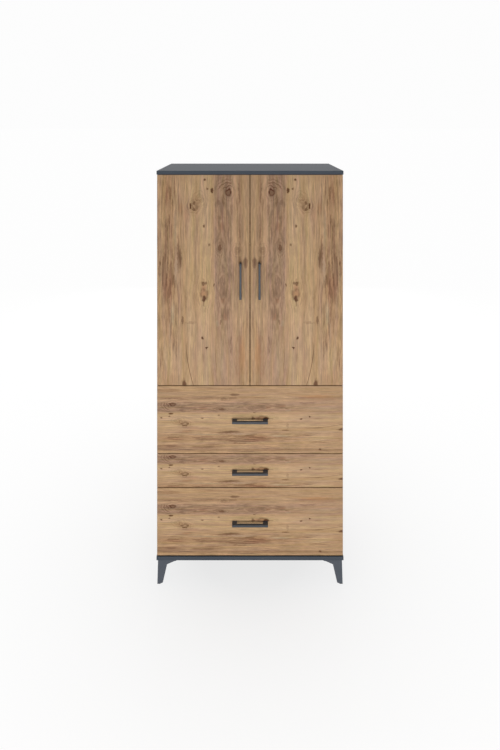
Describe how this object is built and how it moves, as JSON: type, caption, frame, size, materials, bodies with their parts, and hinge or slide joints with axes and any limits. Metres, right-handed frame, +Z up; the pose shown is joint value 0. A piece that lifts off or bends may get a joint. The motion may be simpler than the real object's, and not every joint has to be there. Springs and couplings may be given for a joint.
{
  "type": "cupboard",
  "caption": "Tall cupboard on folded metal corner legs: hinged doors over shelves above, drawers on rails below, bar handles.",
  "frame": {"origin": "on the floor, in the middle of the width and of the whole depth with the handles", "axes": "+Z up, +X to the right as seen from the front, the front faces -Y"},
  "size_m": [0.9, 0.5, 1.99],
  "materials": {
    "rustic_laminate": "satin laminate printed with knotty light brown boards",
    "drawer_box_laminate": "satin laminate, plain light wood",
    "anthracite_laminate": "matt dark grey laminate",
    "anthracite_powder_coat": "fine matt dark grey powder coat",
    "nickel_plated_steel": "nickel plated",
    "zinc_plated_steel": "zinc plated",
    "hardboard": "smooth hardboard"
  },
  "bodies": {
    "cupboard": {"base_board": "anthracite_laminate", "fixed_shelf": "rustic_laminate", "front_left_leg": "anthracite_powder_coat", "front_right_leg": "anthracite_powder_coat", "high_shelf": "rustic_laminate", "left_high_hinge_arm": "nickel_plated_steel", "left_low_hinge_arm": "nickel_plated_steel", "left_middle_hinge_arm": "nickel_plated_steel", "left_side": "rustic_laminate", "low_shelf": "rustic_laminate", "lower_back": "hardboard", "lower_cabinet_rail_left": "zinc_plated_steel", "lower_cabinet_rail_right": "zinc_plated_steel", "middle_cabinet_rail_left": "zinc_plated_steel", "middle_cabinet_rail_right": "zinc_plated_steel", "rear_left_leg": "anthracite_powder_coat", "rear_right_leg": "anthracite_powder_coat", "right_high_hinge_arm": "nickel_plated_steel", "right_low_hinge_arm": "nickel_plated_steel", "right_middle_hinge_arm": "nickel_plated_steel", "right_side": "rustic_laminate", "top_board": "anthracite_laminate", "upper_back": "hardboard", "upper_cabinet_rail_left": "zinc_plated_steel", "upper_cabinet_rail_right": "zinc_plated_steel"},
    "left_door_leaf": {"left_door": "rustic_laminate", "left_door_handle": "anthracite_powder_coat", "left_high_hinge_cup": "nickel_plated_steel", "left_low_hinge_cup": "nickel_plated_steel", "left_middle_hinge_cup": "nickel_plated_steel"},
    "right_door_leaf": {"right_door": "rustic_laminate", "right_door_handle": "anthracite_powder_coat", "right_high_hinge_cup": "nickel_plated_steel", "right_low_hinge_cup": "nickel_plated_steel", "right_middle_hinge_cup": "nickel_plated_steel"},
    "lower_drawer_box": {"lower_drawer_back": "drawer_box_laminate", "lower_drawer_bottom": "hardboard", "lower_drawer_front": "rustic_laminate", "lower_drawer_handle": "anthracite_powder_coat", "lower_drawer_left_side": "drawer_box_laminate", "lower_drawer_rail_left": "zinc_plated_steel", "lower_drawer_rail_right": "zinc_plated_steel", "lower_drawer_right_side": "drawer_box_laminate"},
    "middle_drawer_box": {"middle_drawer_back": "drawer_box_laminate", "middle_drawer_bottom": "hardboard", "middle_drawer_front": "rustic_laminate", "middle_drawer_handle": "anthracite_powder_coat", "middle_drawer_left_side": "drawer_box_laminate", "middle_drawer_rail_left": "zinc_plated_steel", "middle_drawer_rail_right": "zinc_plated_steel", "middle_drawer_right_side": "drawer_box_laminate"},
    "upper_drawer_box": {"upper_drawer_back": "drawer_box_laminate", "upper_drawer_bottom": "hardboard", "upper_drawer_front": "rustic_laminate", "upper_drawer_handle": "anthracite_powder_coat", "upper_drawer_left_side": "drawer_box_laminate", "upper_drawer_rail_left": "zinc_plated_steel", "upper_drawer_rail_right": "zinc_plated_steel", "upper_drawer_right_side": "drawer_box_laminate"}
  },
  "joints": [
    {"name": "left_door_hinge", "type": "hinge", "parent": "cupboard", "child": "left_door_leaf", "pos_m": [-0.4395, -0.2115, 1.46425], "axis": [0, 0, -1], "range_deg": [0, 95]},
    {"name": "right_door_hinge", "type": "hinge", "parent": "cupboard", "child": "right_door_leaf", "pos_m": [0.4395, -0.2115, 1.46425], "axis": [0, 0, 1], "range_deg": [0, 95]},
    {"name": "lower_drawer_slide", "type": "slide", "parent": "cupboard", "child": "lower_drawer_box", "axis": [0, -1, 0], "range_m": [0, 0.3]},
    {"name": "middle_drawer_slide", "type": "slide", "parent": "cupboard", "child": "middle_drawer_box", "axis": [0, -1, 0], "range_m": [0, 0.3]},
    {"name": "upper_drawer_slide", "type": "slide", "parent": "cupboard", "child": "upper_drawer_box", "axis": [0, -1, 0], "range_m": [0, 0.3]}
  ]
}
